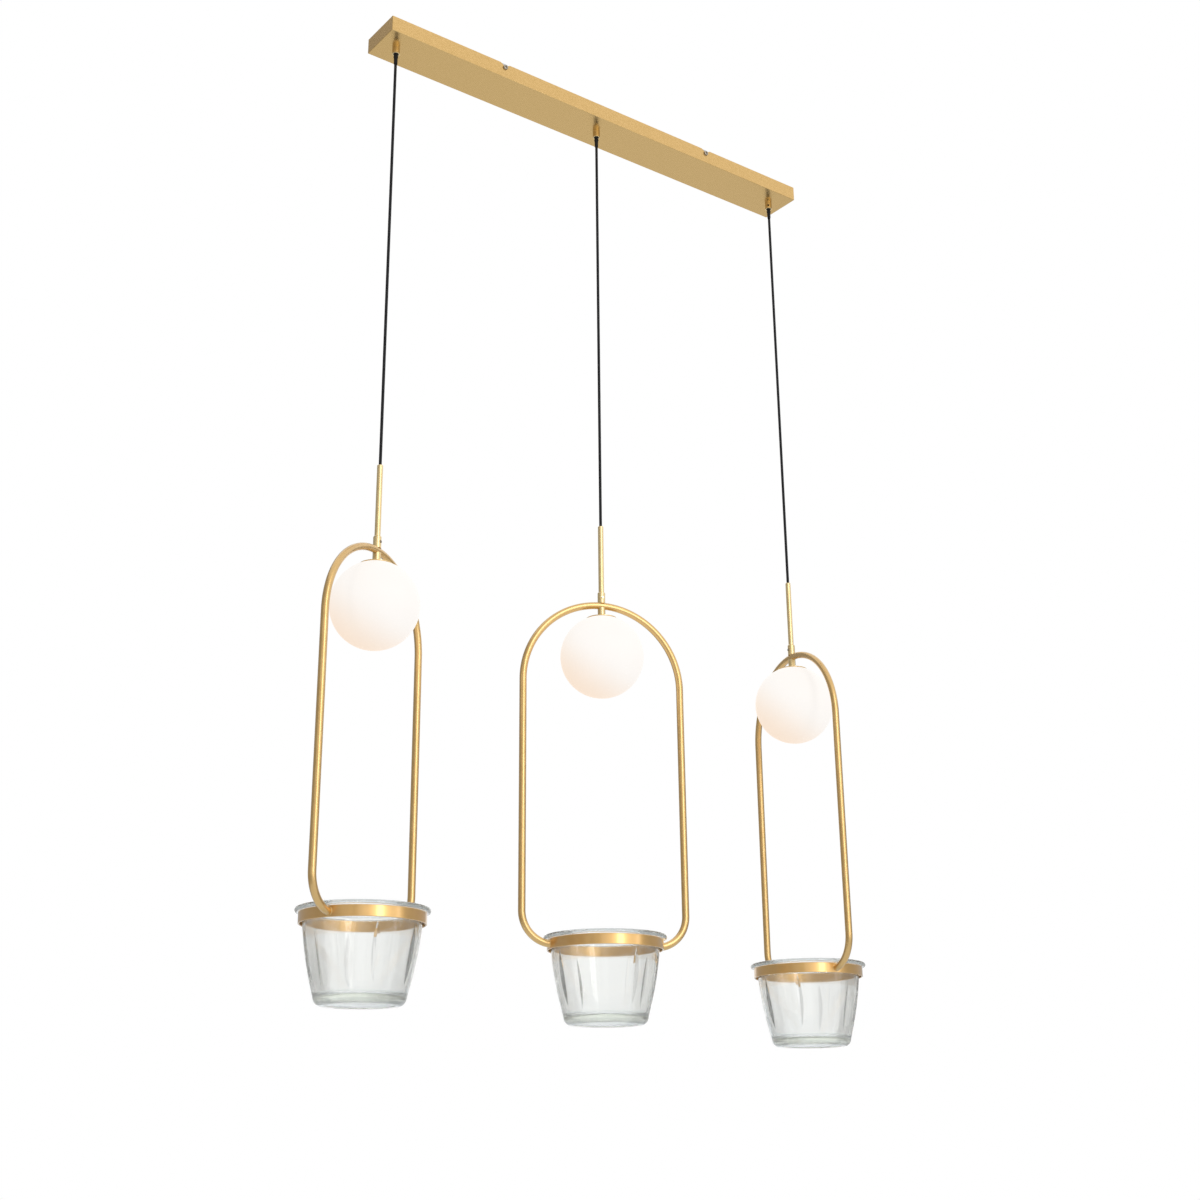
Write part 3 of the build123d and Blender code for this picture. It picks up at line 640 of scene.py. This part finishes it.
def notch_spread(z):
    """Half angle that the columns of the mesh take round a notch at a height."""
    tip, plain = radians(NOTCH_TIP_DEG), radians(NOTCH_PLAIN_DEG)
    if NOTCH_END < z < NOTCH_TOP:
        flank = NOTCH_DEPTH / NOTCH_HALF_W
        share = keel_radius(z) / side_radius(z) / sqrt(1 + flank ** 2)
        return max(tip, acos(share) - atan(flank))
    away = max(z - NOTCH_TOP, NOTCH_END - z)
    return tip + (plain - tip) * min(1, away / NOTCH_FADE)


def pot_columns(half_angle):
    """Angles of the mesh's columns: close beside each notch, and evenly spread between notches."""
    angles = []
    after = NOTCH_ANGLES[1:] + (NOTCH_ANGLES[0] + 360,)
    for here, there in zip(NOTCH_ANGLES, after):
        beside = [-f for f in reversed(NOTCH_FRACTIONS)] + [0] + list(NOTCH_FRACTIONS)
        angles += [radians(here) + f * half_angle for f in beside]
        count = round((there - here) / PLAIN_COLUMN_DEG)
        start = angles[-1]
        end = radians(there) - NOTCH_FRACTIONS[-1] * half_angle
        angles += [start + (end - start) * (i + 1) / (count + 1) for i in range(count)]
    return angles


def notched(angle, z):
    """Outer radius of the pot's side at an angle and a height, with the notches cut in."""
    radius = side_radius(z)
    if not NOTCH_END < z < NOTCH_TOP:
        return radius
    flank = NOTCH_DEPTH / NOTCH_HALF_W
    for notch in NOTCH_ANGLES:
        off = abs((angle - radians(notch) + pi) % (2 * pi) - pi)
        if off < radians(2 * NOTCH_PLAIN_DEG):
            radius = min(radius, keel_radius(z) / (cos(off) - flank * sin(off)))
    return radius


def pot_side_heights():
    """Heights of the mesh's rows down the pot's side, closer together towards the notches' ends."""
    upper = [NOTCH_TOP * i / EDGE_STEPS for i in range(EDGE_STEPS)]
    middle, half = (NOTCH_TOP + NOTCH_END) / 2, (NOTCH_TOP - NOTCH_END) / 2
    between = [middle + half * cos(pi * i / SIDE_STEPS) for i in range(SIDE_STEPS + 1)]
    lower = [NOTCH_END + (POT_FOOT_Z - NOTCH_END) * i / EDGE_STEPS for i in range(1, EDGE_STEPS + 1)]
    return upper + between + lower


def pot_underside():
    """Outline (radius, height) of the pot's underside, from the hollow in it to the foot of the side."""
    points = [(POT_PUNT_R / 2, POT_PUNT_Z), (POT_PUNT_R, POT_PUNT_Z), (POT_PUNT_R + POT_PUNT_H, -POT_DEPTH)]
    foot = (POT_FOOT_R, POT_FOOT_Z)
    return points + bowed((POT_BASE_R, -POT_DEPTH), foot, POT_FOOT_BOW, 2 * EDGE_STEPS)[:-1]


def pot_inside():
    """Outline (radius, height) of the rolled flange, the inside and the floor."""
    lip, neck = (FLANGE_LIP_R, FLANGE_H), (POT_NECK_R - POT_WALL, 0)
    heel_high = (POT_FOOT_R - POT_WALL, POT_FLOOR_Z + POT_HEEL_H)
    heel_low = (heel_high[0] - POT_HEEL_W, POT_FLOOR_Z)
    points = arc((FLANGE_FLAT_R, FLANGE_H / 2), FLANGE_H / 2, -90, 90, 3 * EDGE_STEPS)
    points += bowed(lip, neck, FLANGE_LIP_BOW, EDGE_STEPS)
    points += bowed(neck, heel_high, -POT_BULGE, SIDE_STEPS // 2)[1:]
    points += bowed(heel_high, heel_low, -POT_HEEL_BOW, EDGE_STEPS)[1:]
    return points + [(heel_low[0] / 2, POT_FLOOR_Z)]


def pot_mesh():
    """Pot as one skin: underside, notched side, rolled flange, inside and floor."""
    plain = pot_columns(radians(NOTCH_PLAIN_DEG))
    rings = [[(r, a, z) for a in plain] for r, z in pot_underside()]
    for z in reversed(pot_side_heights()):
        rings.append([(notched(a, z), a, z) for a in pot_columns(notch_spread(z))])
    rings += [[(r, a, z) for a in plain] for r, z in pot_inside()]
    verts = [(0, 0, POT_PUNT_Z)]
    rows = [[0] * len(plain)]
    for ring in rings:
        rows.append(list(range(len(verts), len(verts) + len(ring))))
        verts += [(r * cos(a), r * sin(a), z) for r, a, z in ring]
    rows.append([len(verts)] * len(plain))
    verts.append((0, 0, POT_FLOOR_Z))
    placed = [(x, y, z + RING_TOP + POT_SEAT) for x, y, z in verts]
    return placed, grid_faces(rows, closed=False)


def add_hanger(side, materials):
    """Stem, frame, ring, globe and pot of one hanger."""
    stem = new_object(side + "_stem_tube", *lathe(stem_profile(), closed=True), materials["brass"])
    stand_for(hang(stem, side), side, "stem", "hanger")
    ring = new_object(side + "_ring_band", *lathe(ring_profile(), closed=True), materials["ring_gold"])
    stand_for(hang(ring, side), side, "ring", "hanger")
    rows = tube_rows()
    bent = new_object(side + "_frame_tube", *tube_mesh(rows), materials["frame_gold"])
    stand_for(hang(bent, side), side, "frame", "hanger")
    welds = new_object(side + "_frame_welds", *weld_mesh(rows), materials["brass"])
    hang(welds, side)
    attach(welds, side + "_hanger")
    globe = new_object(side + "_globe_shell", *lathe(globe_profile()), materials["opal_glass"])
    stand_for(hang(globe, side), side, "globe", "globe")
    pot = new_object(side + "_pot_glass", *pot_mesh(), materials["clear_glass"])
    stand_for(hang(pot, side, HANGERS[side]["pot"]), side, "pot", "pot")


def around(angle, rise, far):
    """Place seen from the middle of the light at an angle, a rise and a distance."""
    a, e = radians(angle), radians(rise)
    return AIM + far * Vector((cos(a) * cos(e), sin(a) * cos(e), sin(e)))


def facing(place):
    """Turn that points an object's -Z at the middle of the light."""
    return (AIM - place).to_track_quat("-Z", "Y").to_euler()


def add_soft_boxes():
    """Upright soft boxes, aimed at the middle of the pendant light and hidden from the camera."""
    for name, lamp in SOFT_BOXES.items():
        data = bpy.data.lights.new("soft_box_" + name, "AREA")
        data.shape = "RECTANGLE"
        data.size = lamp["wide"]
        data.size_y = lamp["tall"]
        data.energy = lamp["power"]
        box = bpy.data.objects.new("soft_box_" + name, data)
        box.location = around(lamp["angle"], lamp["rise"], lamp["far"])
        box.rotation_euler = facing(box.location)
        box.visible_camera = False
        bpy.context.scene.collection.objects.link(box)


def seen_rays(tree):
    """One for rays from the camera, gloss or glass, and zero for the rest."""
    path = tree.nodes.new("ShaderNodeLightPath")
    seen = path.outputs["Is Camera Ray"]
    for ray in ("Is Glossy Ray", "Is Transmission Ray"):
        seen = combine(tree, "MAXIMUM", seen, path.outputs[ray])
    return seen


def join_shaders(tree, share, first, second, surface):
    """Puts a mix of two shaders, by the second one's share, on an output."""
    mix = tree.nodes.new("ShaderNodeMixShader")
    tree.links.new(share, mix.inputs["Fac"])
    tree.links.new(first, mix.inputs[1])
    tree.links.new(second, mix.inputs[2])
    tree.links.new(mix.outputs["Shader"], surface)


def bare_material(name):
    """Material with nothing but its output, found by reflections and not sampled as a lamp."""
    material = bpy.data.materials.new(name)
    material.use_nodes = True
    material.cycles.emission_sampling = "NONE"
    tree = material.node_tree
    tree.nodes.remove(tree.nodes["Principled BSDF"])
    return material, tree, tree.nodes["Material Output"].inputs["Surface"]


def floor_share(tree, camera_ray):
    """Share of the floor that looks white: most of it nearby, and all of it far off in the camera's view."""
    near = spread(tree, seen_rays(tree), 0, FLOOR_SEEN, 0, 1)
    place = tree.nodes.new("ShaderNodeTexCoord")
    away = tree.nodes.new("ShaderNodeVectorMath")
    away.operation = "LENGTH"
    tree.links.new(place.outputs["Object"], away.inputs[0])
    fade = spread(tree, away.outputs["Value"], 0, 1, *FLOOR_FADE)
    far = combine(tree, "MULTIPLY", fade, camera_ray)
    return combine(tree, "MAXIMUM", near, far)


def floor_material():
    """Matt pale floor that looks nearly white, with the shadows on it."""
    material, tree, surface = bare_material("floor")
    matt = tree.nodes.new("ShaderNodeBsdfDiffuse")
    matt.inputs["Color"].default_value = (*FLOOR_COLOUR, 1)
    white = tree.nodes.new("ShaderNodeEmission")
    camera_ray = tree.nodes.new("ShaderNodeLightPath").outputs["Is Camera Ray"]
    tree.links.new(blend(tree, camera_ray, FLOOR_GLOSS, WHITE), white.inputs["Color"])
    share = floor_share(tree, camera_ray)
    join_shaders(tree, share, matt.outputs["BSDF"], white.outputs["Emission"], surface)
    return material


def add_floor():
    """Wide round pale floor under the light."""
    corners = arc((0, 0), FLOOR_R, 0, 360, TURN_STEPS)[:-1]
    verts = [(x, y, FLOOR_Z) for x, y in corners]
    floor = new_object("floor", verts, [list(range(len(verts)))], floor_material())


def grey_material(name, grey):
    """Even grey that needs no light, and looks paler through glass."""
    material, tree, surface = bare_material(name)
    even = tree.nodes.new("ShaderNodeEmission")
    path = tree.nodes.new("ShaderNodeLightPath")
    level = spread(tree, path.outputs["Is Transmission Ray"], grey, WALL_PALE, 0, 1)
    tree.links.new(level, even.inputs["Strength"])
    tree.links.new(even.outputs["Emission"], surface)
    return material


def add_walls():
    """Curved grey walls beside the light, which only metal and glass show."""
    for name, wall in WALLS.items():
        count = round((wall["to"] - wall["from"]) / WALL_STEP_DEG)
        angles = [radians(wall["from"] + i * WALL_STEP_DEG) for i in range(count + 1)]
        verts = [(WALL_FAR * cos(a), WALL_FAR * sin(a), z) for z in (FLOOR_Z, wall["top"]) for a in angles]
        faces = [(i, i + 1, i + count + 2, i + count + 1) for i in range(count)]
        piece = new_object("wall_" + name, verts, faces, grey_material("wall_" + name, wall["grey"]))
        piece.visible_camera = False
        piece.visible_diffuse = False
        piece.visible_shadow = False


def add_world():
    """White surroundings for camera, gloss and glass, and a plain level of daylight for the rest."""
    world = bpy.data.worlds.new("studio")
    world.use_nodes = True
    world.cycles.sampling_method = "NONE"
    bpy.context.scene.world = world
    tree = world.node_tree
    plain = tree.nodes["Background"]
    plain.inputs["Color"].default_value = (*WHITE, 1)
    plain.inputs["Strength"].default_value = DAYLIGHT
    white = tree.nodes.new("ShaderNodeBackground")
    white.inputs["Color"].default_value = (*WHITE, 1)
    white.inputs["Strength"].default_value = 1.0
    surface = tree.nodes["World Output"].inputs["Surface"]
    join_shaders(tree, seen_rays(tree), plain.outputs["Background"], white.outputs["Background"], surface)


add_camera()
finishes = make_materials()
dress_nodes(finishes)
for hanger in HANGERS:
    add_cord(hanger, finishes)
    add_hanger(hanger, finishes)
add_world()
add_soft_boxes()
add_walls()
add_floor()
bpy.context.scene.view_settings.view_transform = "Standard"
